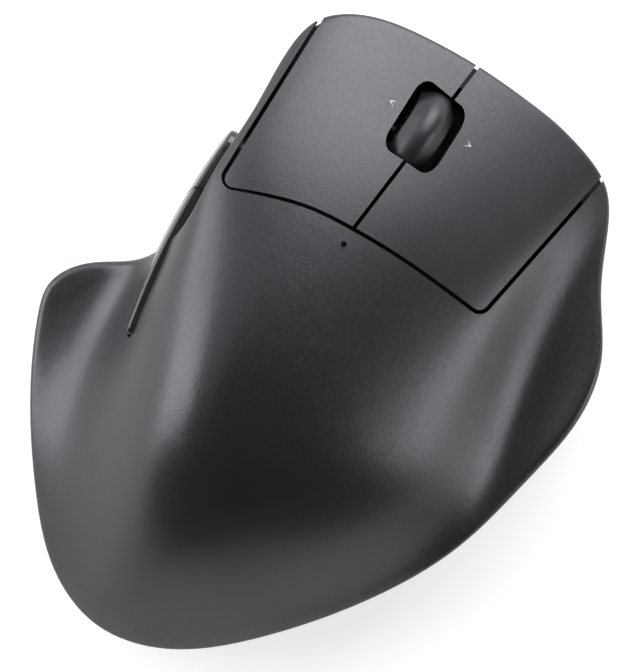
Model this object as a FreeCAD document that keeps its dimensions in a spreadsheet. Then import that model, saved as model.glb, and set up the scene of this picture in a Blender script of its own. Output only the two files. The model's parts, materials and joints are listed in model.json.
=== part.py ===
import FreeCAD, Part
import math
import os
import re
import Sketcher
from FreeCAD import Placement, Rotation, Vector

# A wireless ergonomic mouse for the right hand, in millimetres.
# The origin lies on the desk under the middle of the mouse's outline.
# +X points to the user's right, +Y away from the user towards the buttons, +Z up.

os.makedirs("parts", exist_ok=True)
doc = FreeCAD.newDocument("wireless_mouse")
sheet = doc.addObject("Spreadsheet::Sheet", "Sizes")

SIZES = {
    # The body
    "body_length": 113.0,
    "body_width": 84.0,
    "body_height": 45.0,
    "shell_wall": 1.8,
    "rim_radius": 1.2,
    "parting_height": 6.0,
    # The lower case
    "underside": 0.5,
    "floor_thickness": 2.0,
    "base_wall": 1.8,
    "base_lean": 2.6,
    "reveal": 0.3,
    "nose_setback": 3.0,
    "nose_wall": 1.6,
    # The main buttons
    "seam_gap": 0.68,
    "seam_corner": 1.8,
    "split_x": -7.1,
    "button_lip": 4.6,
    "click_room": 1.5,
    "hinge_y": 8.0,
    "arm_thickness": 1.6,
    "arm_room": 1.0,
    "arm_tail": 3.2,
    "arm_front": 27.0,
    "riser_length": 3.4,
    "button_screw_length": 5.0,
    "arm_width": 14.0,
    "left_arm_x": -17.5,
    "right_arm_x": 5.0,
    "rib_width": 4.0,
    "rib_length": 3.0,
    # The wheel and its cradle
    "wheel_x": -7.65,
    "wheel_y": 42.5,
    "wheel_tilt": 10.0,
    "wheel_proud": 2.2,
    "wheel_radius": 10.4,
    "wheel_relief": 0.6,
    "wheel_width": 7.0,
    "wheel_crown": 0.8,
    "bevel_width": 1.5,
    "bevel_depth": 1.3,
    "tyre_thickness": 2.7,
    "opening_width": 10.0,
    "opening_corner": 2.2,
    "axle_radius": 1.2,
    "running_gap": 0.06,
    "fork_gap": 0.6,
    "fork_wall": 1.5,
    "fork_height": 5.0,
    "pivot_back": 27.0,
    "pivot_radius": 1.4,
    "tilt_pin_radius": 1.1,
    "crossbar_back": 12.6,
    "crossbar_length": 2.2,
    "tongue_back": 16.5,
    "tongue_size": 2.4,
    "bridge_length": 3.0,
    "post_gap": 1.0,
    "post_wall": 2.4,
    "chopper_radius": 5.0,
    "chopper_hole": 0.6,
    "chopper_count": 16,
    # The thumb buttons
    "side_length": 38.0,
    "side_bow_radius": 118.0,
    "side_bow_y": -5.5,
    "side_bow_x": -1.5,
    "side_lean": 5.0,
    "side_joint_lean": 14.0,
    "side_x": -30.1,
    "side_y": 3.9,
    "side_z": 25.8,
    "side_turn": 12.4,
    "side_gap": 0.35,
    "side_height": 6.6,
    "side_joint": 6.9,
    "side_depth": 4.8,
    "side_flange": 1.0,
    "side_flange_edge": 0.6,
    "side_travel": 0.4,
    "side_edge": 0.6,
    "side_tip": 1.6,
    "side_swell": 0.3,
    "slot_reach": 8.0,
    # The boards and switches
    "board_height": 6.0,
    "board_thickness": 1.2,
    "board_x": -2.8,
    "board_y": 29.5,
    "board_width": 37.6,
    "board_length": 37.4,
    "board_gap": 0.4,
    "switch_width": 5.8,
    "switch_length": 12.8,
    "switch_height": 6.5,
    "plunger_radius": 0.9,
    "plunger_proud": 0.9,
    "plunger_depth": 2.0,
    "plunger_gap": 0.1,
    "contact_gap": 0.05,
    "left_switch_x": -18.4,
    "right_switch_x": 6.0,
    "main_switch_y": 35.5,
    "side_board_thickness": 1.0,
    "side_board_length": 30.0,
    "side_board_width": 5.8,
    "side_switch_size": 4.6,
    "side_switch_depth": 2.2,
    "side_switch_reach": 11.0,
    # The cell and its door
    "cell_radius": 7.1,
    "cell_length": 50.0,
    "cell_x": 4.0,
    "cell_y": -19.5,
    "cell_gap": 0.5,
    "contact_thickness": 0.4,
    "contact_width": 9.0,
    "bay_wall": 1.4,
    "door_thickness": 1.6,
    "door_width": 18.0,
    "door_length": 54.0,
    "door_gap": 0.35,
    "door_pin_radius": 0.6,
    "door_pin_length": 1.2,
    # Feet, screws and the underside
    "foot_thickness": 0.8,
    "foot_width": 5.0,
    "foot_gap": 0.2,
    "screw_radius": 1.1,
    "screw_head_radius": 2.1,
    "screw_head_height": 1.2,
    "screw_gap": 0.15,
    "boss_radius": 2.7,
    "boss_height": 8.0,
    "tower_radius": 3.7,
    "recess_length": 2.8,
    "recess_width": 0.5,
    "case_screw_length": 9.0,
    "knob_x": -14.0,
    "knob_y": 30.0,
    "knob_travel": 2.5,
    "pairing_x": -14.0,
    "pairing_y": 39.5,
    "sensor_x": 8.0,
    "sensor_y": 16.5,
    "lamp_x": -5.95,
    "dot_x": -6.8,
    "dot_y": 18.8,
    "dot_radius": 0.45,
    "guide_width": 1.0,
    "guide_drop": 1.2,
    "lamp_height": 0.8,
    "lamp_width": 1.4,
    "radio_x": 12.2,
    "radio_y": 33.0,
    "radio_size": 5.0,
    "radio_height": 0.9,
    "post_depth": 5.2,
    "sink": 0.4,
    "side_bracket_middle": -2.5,
    "bracket_length": 11.0,
    "bracket_wall": 1.6,
    "side_screw_pitch": 6.4,
    "side_forward": 10.0,
    "side_back": -10.5,
    "side_well": 1.5,
    "contact_bow": 1.0,
    "grip_radius": 1.6,
    "board_post_radius": 2.2,
    "board_screw_length": 3.6,
    "screw_seat": 3.2,
    "board_corner": 1.5,
    "knob_length": 4.0,
    "knob_width": 2.6,
    "knob_recess": 0.4,
    "knob_flange": 2.6,
    "knob_flange_ends": 2.0,
    "knob_flange_sides": 0.8,
    "knob_flange_thickness": 0.8,
    "knob_lever_size": 1.2,
    "knob_lever_height": 2.2,
    "power_length": 8.6,
    "power_width": 3.6,
    "power_height": 1.9,
    "pairing_radius": 1.7,
    "pairing_top": 4.2,
    "pairing_gap": 0.35,
    "window_radius": 3.0,
    "hub_recess": 0.4,
    "tyre_edge": 0.35,
    "fork_lead": 2.6,
    "eye_width": 2.4,
    "eye_depth": 3.0,
    "eye_reach": 7.4,
    "plunger_travel": 0.6,
    "cell_nub": 1.0,
    "cell_nub_radius": 2.6,
    "sensor_width": 9.0,
    "sensor_length": 8.0,
    "sensor_height": 1.2,
    "label_thickness": 0.12,
    "label_width": 12.0,
    "label_length": 24.0,
    "label_corner": 1.0,
    "label_x": 22.5,
    "label_y": 2.0,
}
for row, (alias, value) in enumerate(SIZES.items(), start=1):
    sheet.set("A%d" % row, alias)
    sheet.set("B%d" % row, str(value))
    sheet.setAlias("B%d" % row, alias)
doc.recompute()


def size(alias):
    """The sheet's value under an alias, in millimetres, degrees or as a count."""
    return float(sheet.get(alias))


# The skin, drawn as rails that run from front to back: each has an (x, z) at every station.
DRAWN_LENGTH, DRAWN_WIDTH = 113.0, 84.0
STATIONS = [64, 52, 40, 28, 15, 2, -9, -20, -32, -45, -60]
RAILS = {
    "border_left": [(-52, 8), (-52, 12), (-52, 16), (-52, 19), (-52, 22), (-52, 17), (-52, 13), (-52, 11),
                    (-50, 9), (-46, 4), (-44, -8)],
    "floor": [(-46, 10), (-46, 15), (-46, 19.5), (-46, 23.5), (-46, 26), (-44, 16), (-43, 12.5), (-43, 11),
              (-40, 10), (-34, 6), (-32, -6)],
    "valley": [(-41, 12), (-41, 17.5), (-41, 22.5), (-41, 27), (-39, 30), (-35, 17), (-35, 12), (-35, 11),
               (-32, 12), (-25, 10), (-23, -3)],
    "wall_low": [(-37, 13), (-37, 19.3), (-37, 24.8), (-37, 29.7), (-35, 33.5), (-31, 22), (-29.5, 14.5),
                 (-28.5, 14), (-25, 17), (-18, 15), (-16, 1)],
    "wall_high": [(-33, 13.8), (-33, 20.6), (-33, 26.6), (-33, 31.8), (-31.5, 36), (-29, 33.4), (-27.6, 28.4),
                  (-24.2, 25.6), (-19, 25), (-12.5, 20), (-10, 3)],
    "ridge": [(-28, 14.5), (-28, 21.8), (-28, 28.2), (-28, 33.6), (-27, 38), (-25.4, 38.6), (-23.2, 37.4),
              (-19, 35.6), (-13.5, 33), (-8, 23.5), (-6, 4.5)],
    "top_left": [(-19, 15), (-19, 22.4), (-19, 29), (-19, 34.8), (-18, 39.5), (-17, 42.8), (-16, 44.5),
                 (-12.5, 42.5), (-8, 38), (-4, 26.5), (-3, 5.5)],
    "top_centre": [(-8, 14.5), (-8, 22), (-8, 28.5), (-8, 34.2), (-8, 39), (-7, 42.8), (-6, 45), (-4, 44),
                   (-2, 39), (0, 27.5), (0, 6)],
    "top_right": [(3, 13), (3, 20.3), (3, 26.6), (3, 32), (4, 36.4), (5, 40.2), (5, 42.5), (4.5, 42),
                  (4.5, 37.5), (4, 26.5), (3, 5.5)],
    "shoulder": [(12, 11), (12, 18), (12, 24), (12.5, 29), (14, 32.6), (15.5, 36), (16, 38.2), (14, 37.5),
                 (11.5, 33), (8.5, 23.5), (7, 4.5)],
    "flank": [(19, 9), (19, 15.6), (19.5, 21.5), (20.5, 25.7), (23, 27.6), (25, 30.5), (25.5, 32), (23, 30.5),
              (18.5, 27), (13.5, 19.5), (11, 2.5)],
    "dish_inner": [(23, 7), (23.5, 13), (24, 16.5), (26, 16.7), (30, 17.5), (33, 22), (33, 24), (30, 22.5),
                   (25.5, 19.5), (19.5, 14.5), (16, 0)],
    "dish": [(29, 5.5), (30, 11.2), (32, 13.4), (35, 14.8), (38, 15.6), (40, 17), (40, 17.5), (37, 15),
             (32.5, 13), (27, 9.5), (24, -3)],
    "border_right": [(50, 4), (50, 11.4), (50, 16), (50, 20), (50, 21), (50, 20), (50, 17.5), (50, 11),
                     (48, 6), (44, 2), (40, -7)],
}
# The outline from above, from the front tip round the left side to the back and up the right side.
OUTLINE = [
    (5.6, 56.5), (-6.2, 56.05), (-17.4, 54.4), (-27.5, 51.0), (-32.9, 45.6), (-33.7, 39), (-32.2, 28),
    (-30.9, 14), (-29.8, 3), (-32.4, -3.6), (-38.7, -9.2), (-42, -16.4), (-40.3, -21.4), (-32.7, -33.4),
    (-22.4, -45.3), (-12.7, -53.3), (-1.6, -56.5), (9.4, -53.3), (22, -41.3), (32.4, -25.4), (38.9, -9.4),
    (41.3, 6.6), (42, 18.6), (38.9, 29.8), (32.1, 38.6), (27.5, 46.2), (22.3, 52.9), (15.2, 55.55)]
# The rear seam of the main buttons, from left to right, and the two side seams' far ends.
REAR_SEAM = [(-29.3, 13.6), (-20.9, 17.9), (-14.1, 20.4), (-7.2, 21.7), (-0.7, 22.5), (7.6, 23.0), (18.4, 23.2)]
LEFT_SEAM_FRONT = (-34.1, 62)
RIGHT_SEAM_FRONT = (21.4, 62)
# Corners of the stretch of front wall that the lower case carries up under the buttons.
NOSE_FROM, NOSE_TO = (-31.1, 38), (26.0, 62)
# The case screws, drawn on the body, and the main board's screws, from the board's centre.
CASE_SCREWS = [(24, 30), (24, -24), (-22, -23), (-13, -42)]
BOARD_SCREWS = [(-15.4, -7.0), (16.2, -4.5), (15.3, 16.0)]
# Each foot's middle on the drawing, its length and its turn in degrees.
FEET = {
    "front_foot": ((-4, 47.6), 22.0, 0),
    "rear_foot": ((-1.5, -49.9), 13.0, 0),
    "left_foot": ((-31.5, -18.5), 11.0, 60),
    "right_foot": ((33.5, 12), 14.0, 85),
}
# Small parts on the main board: length, width and height, then x and y.
SMALL_PARTS = [
    (5.0, 4.0, 1.0, 5.0, 24.0), (1.6, 0.8, 0.6, 10.5, 38.0), (1.6, 0.8, 0.6, 13.2, 38.0),
    (1.0, 0.5, 0.5, 13.5, 29.4), (1.0, 0.5, 0.5, 13.5, 36.6), (3.2, 1.6, 1.1, 6.0, 44.5),
    (1.0, 0.5, 0.5, 1.5, 30.0), (1.0, 0.5, 0.5, 1.5, 32.0), (3.2, 2.5, 0.9, -18.5, 18.0),
    (1.6, 0.8, 0.6, -14.2, 25.0)]
# A height above everything, the degree of the free-form curves, and how far a cutting tool runs on.
SKY = 90.0
DEGREE = 3
PAST = 1.0


def closed_curve(points):
    """A smooth closed curve through points."""
    curve = Part.BSplineCurve()
    curve.interpolate(Points=points, PeriodicFlag=True)
    return curve


def fitted_outline():
    """The outline's points, moved and stretched until the curve's own box is the body's, centred on the origin."""
    samples = closed_curve([Vector(x, y, 0) for x, y in OUTLINE]).discretize(800)
    low_x, high_x = min(p.x for p in samples), max(p.x for p in samples)
    low_y, high_y = min(p.y for p in samples), max(p.y for p in samples)
    stretch_x = size("body_width") / (high_x - low_x)
    stretch_y = size("body_length") / (high_y - low_y)
    return [Vector((x - (low_x + high_x) / 2) * stretch_x, (y - (low_y + high_y) / 2) * stretch_y, 0)
            for x, y in OUTLINE]


outline_points = fitted_outline()
outline_curve = closed_curve(outline_points)


def outline_wire(inset, height):
    """The outline moved inwards by inset, at a height."""
    moved = []
    for point in outline_points:
        tangent = outline_curve.tangent(outline_curve.parameter(point))[0]
        moved.append(point + Vector(-tangent.y, tangent.x, 0) * inset + Vector(0, 0, height))
    return Part.Wire([closed_curve(moved).toShape()])


def prism(inset, low, high):
    """The upright space within the outline, moved inwards by inset."""
    return Part.Face(outline_wire(inset, low)).extrude(Vector(0, 0, high - low))


def surface_of(poles):
    """A smooth surface over a net of poles, clamped at its borders."""
    def knots(count):
        spans = count - DEGREE
        return list(range(spans + 1)), [DEGREE + 1] + [1] * (spans - 1) + [DEGREE + 1]
    (u_knots, u_times), (v_knots, v_times) = knots(len(poles)), knots(len(poles[0]))
    surface = Part.BSplineSurface()
    surface.buildFromPolesMultsKnots(poles, u_times, v_times, u_knots, v_knots, False, False, DEGREE, DEGREE)
    return surface


def greville(index, count):
    """The parameter at which a clamped curve's pole of this index has most weight."""
    knots = [0] * DEGREE + list(range(count - DEGREE + 1)) + [count - DEGREE] * DEGREE
    return sum(knots[index + 1:index + DEGREE + 1]) / DEGREE


drawn_poles = [[Vector(x, y, z) for (x, z), y in zip(rail, STATIONS)] for rail in RAILS.values()]
drawn_skin = surface_of(drawn_poles)
drawn_crown = max(drawn_skin.value(u / 4, v / 8).z
                  for u in range(4 * (len(RAILS) - DEGREE) + 1) for v in range(8 * (len(STATIONS) - DEGREE) + 1))
stretch = Vector(size("body_width") / DRAWN_WIDTH, size("body_length") / DRAWN_LENGTH,
                 size("body_height") / drawn_crown)
skin_poles = [[Vector(p.x * stretch.x, p.y * stretch.y, p.z * stretch.z) for p in rail] for rail in drawn_poles]
skin = surface_of(skin_poles)


def under_skin(depth=0.0):
    """Everything below the skin moved inwards by depth along its own normals, to far under the desk."""
    lowered = []
    for i, rail in enumerate(skin_poles):
        line = []
        for j, pole in enumerate(rail):
            normal = skin.normal(greville(i, len(skin_poles)), greville(j, len(STATIONS)))
            outwards = normal if normal.z > 0 else -normal
            line.append(pole - outwards * depth)
        lowered.append(line)
    return surface_of(lowered).toShape().extrude(Vector(0, 0, -2 * SKY))


whole_skin = skin.toShape()


def skin_height(x, y):
    """The skin's height over a point of the desk."""
    upright = Part.makeLine(Vector(x, y, 0), Vector(x, y, SKY))
    return whole_skin.distToShape(upright)[1][0][0].z


def lowest_skin(xs, ys):
    """The skin's least height over some points of the desk."""
    return min(skin_height(x, y) for x in xs for y in ys)


def drawn(point, shift_x=0.0, shift_y=0.0, z=0.0):
    """A point of the drawing, stretched with the body and then shifted."""
    return Vector(point[0] * stretch.x + shift_x, point[1] * stretch.y + shift_y, z)


def button_zone(grow, low, high):
    """The upright space of both main buttons, grown past their seams, open to the front."""
    rear = Part.BSplineCurve()
    rear.interpolate([drawn(REAR_SEAM[0], -grow, -grow)]
                     + [drawn(point, 0, -grow) for point in REAR_SEAM[1:-1]]
                     + [drawn(REAR_SEAM[-1], grow, -grow)])
    left_front, right_front = drawn(LEFT_SEAM_FRONT, -grow), drawn(RIGHT_SEAM_FRONT, grow)
    start, end = rear.StartPoint, rear.EndPoint
    wire = Part.Wire([rear.toShape(), Part.makeLine(end, right_front), Part.makeLine(right_front, left_front),
                      Part.makeLine(left_front, start)])
    wire.translate(Vector(0, 0, low))
    block = Part.Face(wire).extrude(Vector(0, 0, high - low))
    corners = [edge for edge in block.Edges
               if edge.BoundBox.ZLength > (high - low) / 2 and edge.BoundBox.YMax < left_front.y - PAST]
    return block.makeFillet(size("seam_corner") + grow, corners)


def box_between(x0, x1, y0, y1, z0, z1):
    """An upright block between two corners."""
    return Part.makeBox(x1 - x0, y1 - y0, z1 - z0, Vector(x0, y0, z0))


def column(x, y, radius, low, high):
    """An upright round column."""
    return Part.makeCylinder(radius, high - low, Vector(x, y, low))


# Places worked out from the skin: the wheel's centre, the button arms and the light guide.
wheel_axis = Rotation(Vector(0, 1, 0), size("wheel_tilt")).multVec(Vector(1, 0, 0))
wheel_mouth = Vector(size("wheel_x"), size("wheel_y"), skin_height(size("wheel_x"), size("wheel_y")))
mouth_normal = skin.normal(*skin.parameter(wheel_mouth))
mouth_normal = mouth_normal if mouth_normal.z > 0 else -mouth_normal
wheel_up = (mouth_normal - wheel_axis * mouth_normal.dot(wheel_axis)).normalize()
wheel_centre = wheel_mouth - wheel_up * (size("wheel_radius") - size("wheel_proud"))
wheel_frame = Placement(wheel_centre, Rotation(Vector(0, 1, 0), size("wheel_tilt")))
side_frame = Placement(Vector(size("side_x"), size("side_y"), size("side_z")),
                       Rotation(Vector(0, 0, 1), size("side_turn")))
board_top = size("board_height") + size("board_thickness")
plunger_top = board_top + size("switch_height") + size("plunger_proud")
floor_top = size("underside") + size("floor_thickness")
cell_height = size("underside") + size("door_thickness") + size("cell_gap") + size("cell_radius")
fork_reach = size("wheel_width") / 2 + size("fork_gap") + size("fork_wall")
post_reach = fork_reach + size("post_gap") + size("post_wall") / 2
tongue_drop = ((wheel_centre.z - plunger_top - size("contact_gap")
                - size("tongue_size") / 2 * math.sin(math.radians(size("wheel_tilt"))))
               / math.cos(math.radians(size("wheel_tilt"))))
middle_switch = wheel_frame.multVec(Vector(0, -size("tongue_back"), -tongue_drop))


def arm_level(arm_x):
    """The height of an arm's underside, low enough to pass under the shell all along."""
    half = size("arm_width") / 2
    ys = (size("hinge_y") - size("arm_tail"), size("arm_front"))
    return (lowest_skin((arm_x - half, arm_x + half), ys)
            - size("shell_wall") - size("arm_room") - size("arm_thickness"))


# Values that follow from the sheet's own go into it too, for the pieces that need them.
WORKED_OUT = {
    "centre_x": wheel_centre.x,
    "centre_y": wheel_centre.y,
    "centre_z": wheel_centre.z,
    "board_top": board_top,
    "plunger_top": plunger_top,
    "floor_top": floor_top,
    "cell_height": cell_height,
    "fork_reach": fork_reach,
    "post_reach": post_reach,
    "tongue_drop": tongue_drop,
    "middle_x": middle_switch.x,
    "middle_y": middle_switch.y,
    "left_arm_level": arm_level(size("left_arm_x")),
    "right_arm_level": arm_level(size("right_arm_x")),
}
for row, (alias, value) in enumerate(WORKED_OUT.items(), start=len(SIZES) + 2):
    sheet.set("A%d" % row, alias)
    sheet.set("B%d" % row, repr(round(value, 6)))
    sheet.setAlias("B%d" % row, alias)
doc.recompute()
ALIASES = set(SIZES) | set(WORKED_OUT)
pieces = []


def cells(text):
    """An expression in which every alias points to the sheet."""
    return re.sub(r"[a-z][a-z_]+", lambda word: "Sizes." + word[0] if word[0] in ALIASES else word[0], str(text))


def bind(item, **texts):
    """Ties an object's properties to the sheet."""
    for name, text in texts.items():
        item.setExpression(name, cells(text))
    return item


def place(item, x=0, y=0, z=0):
    """Ties an object's place to the sheet."""
    for axis, text in zip("xyz", (x, y, z)):
        item.setExpression("Placement.Base." + axis, cells(text))
    return item


def turned(item, axis, angle):
    """Ties an object's turn about an axis to the sheet."""
    item.Placement = Placement(Vector(), Rotation(Vector(*axis), 1))
    item.setExpression("Placement.Rotation.Angle", cells(angle))
    return item


def in_wheel_frame(item):
    """Moves an object drawn about the wheel's centre to the wheel's place and tilt."""
    return place(turned(item, (0, 1, 0), "wheel_tilt"), "centre_x", "centre_y", "centre_z")


def in_side_frame(item):
    """Moves an object drawn in the thumb buttons' frame to their place and turn."""
    return place(turned(item, (0, 0, 1), "side_turn"), "side_x", "side_y", "side_z")


def block(name, length, width, height, x=0, y=0, z=0):
    """A block centred over x and y that stands on z."""
    item = bind(doc.addObject("Part::Box", name), Length=length, Width=width, Height=height)
    return place(item, "(%s) - (%s) / 2" % (x, length), "(%s) - (%s) / 2" % (y, width), z)


def rod(name, radius, height, x=0, y=0, z=0):
    """An upright cylinder that stands on z."""
    return place(bind(doc.addObject("Part::Cylinder", name), Radius=radius, Height=height), x, y, z)


def spindle(name, radius, length, x=0, y=0, z=0):
    """A cylinder along X, centred on x."""
    item = bind(doc.addObject("Part::Cylinder", name), Radius=radius, Height=length)
    item.Placement = Placement(Vector(), Rotation(Vector(0, 1, 0), 90))
    return place(item, "(%s) - (%s) / 2" % (x, length), y, z)


def lance(name, radius, length, x=0, y=0, z=0):
    """A cylinder along Y that starts at y."""
    item = bind(doc.addObject("Part::Cylinder", name), Radius=radius, Height=length)
    item.Placement = Placement(Vector(), Rotation(Vector(1, 0, 0), -90))
    return place(item, x, y, z)


def fused(name, *items):
    """Several objects as one solid."""
    item = doc.addObject("Part::MultiFuse", name)
    item.Shapes = list(items)
    return item


def cut(name, base, *tools):
    """One object less some others."""
    item = doc.addObject("Part::Cut", name)
    item.Base = base
    item.Tool = tools[0] if len(tools) == 1 else fused(name + "_tools", *tools)
    return item


def group(name, *items):
    """Several separate solids kept together."""
    item = doc.addObject("Part::Compound", name)
    item.Links = list(items)
    return item


def named(item, label):
    """Keeps a finished piece under its name."""
    item.Label = label
    pieces.append(item)
    return item


def free_form(label, shape):
    """A finished piece whose free-form shape was worked out above."""
    item = doc.addObject("Part::Feature", label)
    item.Shape = shape
    return named(item, label)


def origin_part(body, role):
    """One of a body's own origin planes or axes."""
    return next(item for item in body.Origin.OriginFeatures if item.Role == role)


def sketch_on(body, name, role="XY_Plane"):
    """An empty sketch on one of a body's own planes."""
    sketch = body.newObject("Sketcher::SketchObject", name)
    sketch.AttachmentSupport = [(origin_part(body, role), "")]
    sketch.MapMode = "FlatFace"
    return sketch


def measure(sketch, text, *constraint):
    """A dimension of a sketch, tied to the sheet."""
    index = sketch.addConstraint(Sketcher.Constraint(*constraint))
    sketch.setExpression("Constraints[%d]" % index, cells(text))


def plate(name, length, width, height, x=0, y=0, z=0, corner=None, turn=0):
    """A padded rectangle centred over x and y that stands on z, with round corners if asked."""
    body = doc.addObject("PartDesign::Body", name)
    sketch = sketch_on(body, name + "_outline")
    ends = [Vector(-2, -1, 0), Vector(2, -1, 0), Vector(2, 1, 0), Vector(-2, 1, 0)]
    for index in range(4):
        sketch.addGeometry(Part.LineSegment(ends[index], ends[(index + 1) % 4]), False)
    for index in range(4):
        sketch.addConstraint(Sketcher.Constraint("Coincident", index, 2, (index + 1) % 4, 1))
        sketch.addConstraint(Sketcher.Constraint("Horizontal" if index % 2 == 0 else "Vertical", index))
    sketch.addConstraint(Sketcher.Constraint("Symmetric", 0, 1, 1, 2, -1, 1))
    measure(sketch, length, "DistanceX", 0, 1, 0, 2, 4.0)
    measure(sketch, width, "DistanceY", 1, 1, 1, 2, 2.0)
    pad = bind(body.newObject("PartDesign::Pad", name + "_pad"), Length=height)
    pad.Profile = sketch
    if corner:
        doc.recompute()
        upright = ["Edge%d" % (i + 1) for i, e in enumerate(pad.Shape.Edges)
                   if abs(e.Vertexes[0].Z - e.Vertexes[-1].Z) > e.Length / 2]
        rounding = body.newObject("PartDesign::Fillet", name + "_corners")
        rounding.Base = (pad, upright)
        bind(rounding, Radius=corner)
    body.Placement = Placement(Vector(), Rotation(Vector(0, 0, 1), turn))
    return place(body, x, y, z)


def joined(shapes):
    """Shapes fused into one, each in turn."""
    whole = shapes[0]
    for shape in shapes[1:]:
        whole = whole.fuse(shape)
    return whole


# The shell and the main buttons are cut from one hollow form, so their skins run on across the seams.
parting = size("parting_height")
wall = size("shell_wall")
outer_sharp = under_skin().common(prism(0, parting, SKY))
rim = [e for e in outer_sharp.Edges if e.Length > 2 * size("body_length") and e.BoundBox.ZMax > parting + wall]
outer = outer_sharp.makeFillet(size("rim_radius"), rim)
cavity = under_skin(wall).common(prism(wall, parting, SKY))


def hollowed(solid, hollow_space):
    """A solid less a space inside it, where both stand on the parting plane."""
    def on_parting(face):
        return face.BoundBox.ZMax < parting + 0.01
    outer_foot = next(face for face in solid.Faces if on_parting(face))
    inner_foot = next(face for face in hollow_space.Faces if on_parting(face))
    ring = Part.makeFace([outer_foot.OuterWire, inner_foot.OuterWire], "Part::FaceMakerBullseye")
    faces = [face for face in solid.Faces + hollow_space.Faces if not on_parting(face)]
    skin_shell = Part.makeShell(faces + [ring])
    skin_shell.sewShape()
    return Part.makeSolid(skin_shell)


hollow = hollowed(outer, cavity)
inside_wall = under_skin(wall / 2)
half_seam = size("seam_gap") / 2

side_long = size("side_length") / 2
side_high = size("side_height") / 2


def side_profile(grow):
    """The thumb buttons' outline on the wall, as a face in the side frame's YZ plane, grown all round."""
    high, tip = side_high + grow, size("side_tip") + grow
    front, back, swell = side_long - side_high, -side_long - grow, size("side_swell")
    nose = Part.Arc(Vector(0, front, -high), Vector(0, front + high, 0), Vector(0, front, high)).toShape()
    top = Part.Arc(Vector(0, front, high), Vector(0, front / 4, high + swell),
                   Vector(0, back + tip, tip)).toShape()
    tail = Part.Arc(Vector(0, back + tip, tip), Vector(0, back, 0), Vector(0, back + tip, -tip)).toShape()
    belly = Vector(0, front / 4, -high - swell)
    under = Part.Arc(Vector(0, back + tip, -tip), belly, Vector(0, front, -high)).toShape()
    return Part.Face(Part.Wire([nose, top, tail, under]))


def side_slab(start, end, grow):
    """The thumb buttons' outline as a solid from one depth of the side frame to another."""
    slab = side_profile(grow).extrude(Vector(end - start, 0, 0))
    slab.translate(Vector(start, 0, 0))
    return slab


def side_cap():
    """Both thumb buttons as one solid: bowed outer face that leans in at the top, soft edges and a flange."""
    depth, reach, bend = size("side_depth"), side_long + PAST, size("side_bow_radius")
    apex = Vector(size("side_bow_x"), size("side_bow_y"), 0)

    def bowed(y):
        return Vector(apex.x + bend - math.sqrt(bend ** 2 - (y - apex.y) ** 2), y, 0)
    bow = Part.Arc(bowed(reach), apex, bowed(-reach))
    ends = [bowed(-reach), Vector(depth, -reach, 0), Vector(depth, reach, 0), bowed(reach)]
    lines = [Part.makeLine(ends[i], ends[i + 1]) for i in range(3)]
    plan = Part.Face(Part.Wire([bow.toShape()] + lines))
    lean = Vector(math.tan(math.radians(size("side_lean"))), 0, 1) * side_high
    plan.translate(lean * -2)
    backing = box_between(depth / 2, depth, -reach, reach, -2 * side_high, 2 * side_high)
    leaning = plan.extrude(lean * 4).fuse(backing)
    cap = leaning.common(side_slab(-size("slot_reach"), depth, 0))
    soft = [e for e in cap.Edges if e.BoundBox.XMax < depth / 2]
    cap = cap.makeFillet(size("side_edge"), soft)
    return cap.fuse(side_slab(depth, depth + size("side_flange"), size("side_flange_edge"))).removeSplitter()


def thumb_button(label, low, high):
    """One of the thumb buttons, between two places along the slot, cut off along the leaning joint."""
    span = box_between(-SKY, SKY, low, high, -SKY, SKY)
    span.Placement = Placement(Vector(0, size("side_joint"), 0),
                               Rotation(Vector(1, 0, 0), -size("side_joint_lean")))
    button = side_cap().common(span)
    button.Placement = side_frame
    free_form(label, button)


thumb_button("forward_button", size("side_gap") / 2, SKY)
thumb_button("back_button", -SKY, -size("side_gap") / 2)


def case_screw_places():
    """Where the four case screws stand."""
    return [drawn(point) for point in CASE_SCREWS]


def button_screw_places():
    """Where each button's two screws stand, with the arm's level."""
    inset = size("arm_width") / 2 - size("boss_radius")
    return [(Vector(arm_x + side * inset, size("hinge_y"), 0), level)
            for arm_x, level in ((size("left_arm_x"), arm_level(size("left_arm_x"))),
                                 (size("right_arm_x"), arm_level(size("right_arm_x"))))
            for side in (-1, 1)]


def top_shell():
    """The palm shell with its bosses, the thumb slot and the indicator's hole."""
    parts = [hollow.cut(button_zone(half_seam, 0, SKY))]
    for spot in case_screw_places():
        parts.append(column(spot.x, spot.y, size("boss_radius"), size("boss_height"), SKY).common(inside_wall))
    for spot, level in button_screw_places():
        low = level + size("arm_thickness") + size("screw_gap")
        parts.append(column(spot.x, spot.y, size("boss_radius"), low, SKY).common(inside_wall))
    shell = joined(parts)
    thread = size("screw_radius") + size("running_gap")
    holes = [column(s.x, s.y, thread, 0, size("screw_seat") + size("case_screw_length") + PAST)
             for s in case_screw_places()]
    holes += [column(s.x, s.y, thread, level, level + size("button_screw_length") + size("arm_thickness"))
              for s, level in button_screw_places()]
    holes.append(column(size("dot_x"), size("dot_y"), size("dot_radius") + size("contact_gap"), parting, SKY))
    slot = side_slab(-size("slot_reach"), size("side_depth") - size("contact_gap"), size("side_gap"))
    slot.Placement = side_frame.multiply(slot.Placement)
    return shell.cut(Part.makeCompound(holes)).cut(slot)


def wheel_mouth_cut():
    """The barrel that opens the buttons for the wheel."""
    reach = size("wheel_radius") + size("wheel_relief")
    wide = size("opening_width")
    barrel = Part.makeCylinder(reach, wide, Vector(-wide / 2, 0, 0), Vector(1, 0, 0))
    ends = [e for e in barrel.Edges if e.Closed]
    barrel = barrel.makeFillet(size("opening_corner"), ends)
    barrel.Placement = wheel_frame
    return barrel


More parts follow.
